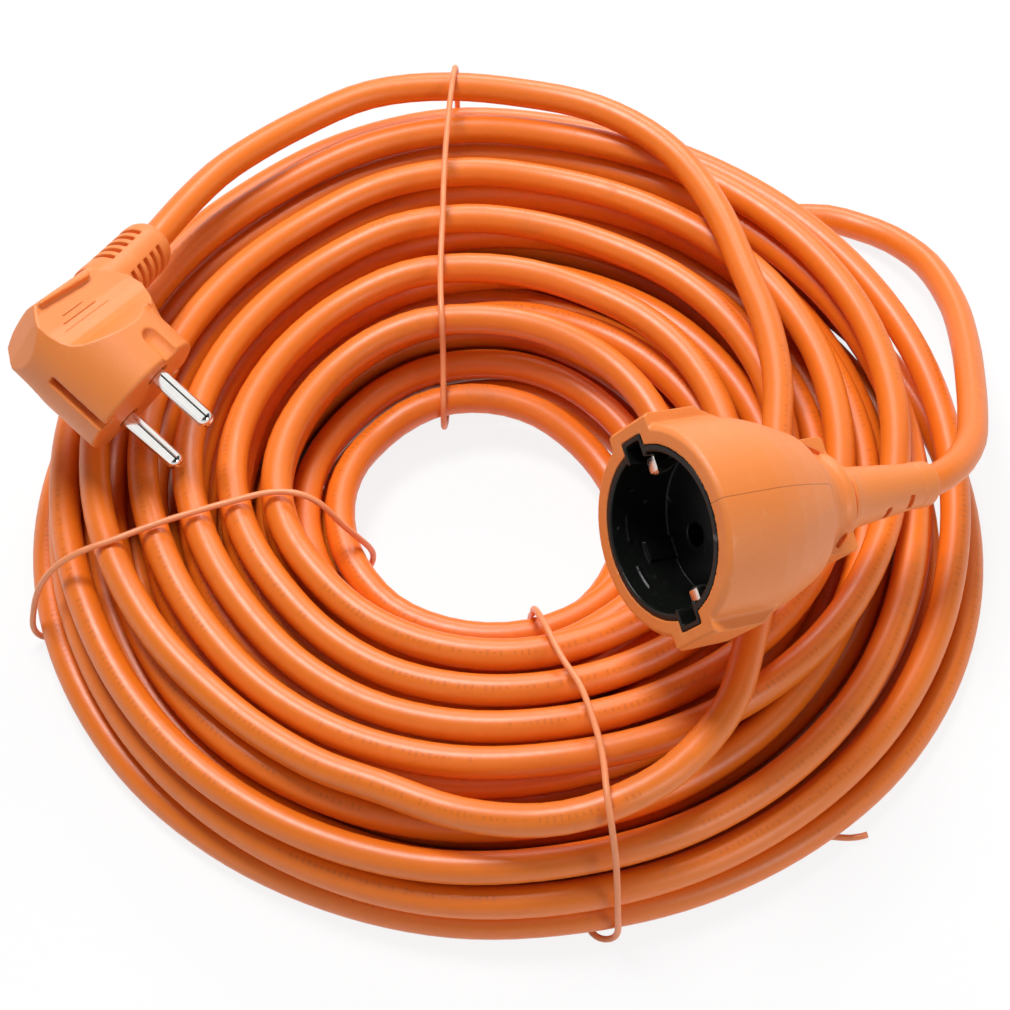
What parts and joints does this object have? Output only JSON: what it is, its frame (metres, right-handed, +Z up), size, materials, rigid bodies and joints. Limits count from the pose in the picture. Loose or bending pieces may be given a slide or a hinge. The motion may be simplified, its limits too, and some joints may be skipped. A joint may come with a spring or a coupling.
{
  "type": "extension cord",
  "caption": "Round orange extension cable in a tied coil, with an angled earthed two-pin plug at one end and a round earthed socket at the other.",
  "frame": {"origin": "on the floor, below the middle of the whole outline", "axes": "+Z up, square to the coil; +Y from the near tie towards the far tie; +X from the plug's side towards the socket's side"},
  "size_m": [0.2692, 0.2692, 0.1078],
  "materials": {
    "cable_sheath": "satin orange PVC sheath",
    "moulding": "fine matt orange PVC moulding",
    "tie_coating": "satin orange PVC over steel wire",
    "black_insert": "black engineering plastic",
    "plated_pin": "bright nickel plate",
    "earth_strip": "plated spring strip",
    "contact_brass": "bare brass",
    "core_brown": "brown core insulation",
    "core_blue": "blue core insulation",
    "core_earth": "green and yellow core insulation"
  },
  "bodies": {
    "root": {"cable_coil": "cable_sheath", "plug_lead": "cable_sheath", "socket_lead": "cable_sheath", "plug_body": "moulding", "plug_sleeve": "moulding", "plug_carrier": "black_insert", "plug_pin_live": "plated_pin", "plug_pin_neutral": "plated_pin", "plug_earth_strap": "earth_strip", "plug_core_brown": "core_brown", "plug_core_blue": "core_blue", "plug_core_earth": "core_earth", "socket_housing": "moulding", "socket_sleeve": "moulding", "socket_insert": "black_insert", "socket_contact_cover": "black_insert", "socket_contact_live": "contact_brass", "socket_contact_neutral": "contact_brass", "socket_earth_bow": "earth_strip", "socket_core_brown": "core_brown", "socket_core_blue": "core_blue", "socket_core_earth": "core_earth", "tie_far": "tie_coating", "tie_left": "tie_coating", "tie_near": "tie_coating"}
  },
  "joints": []
}
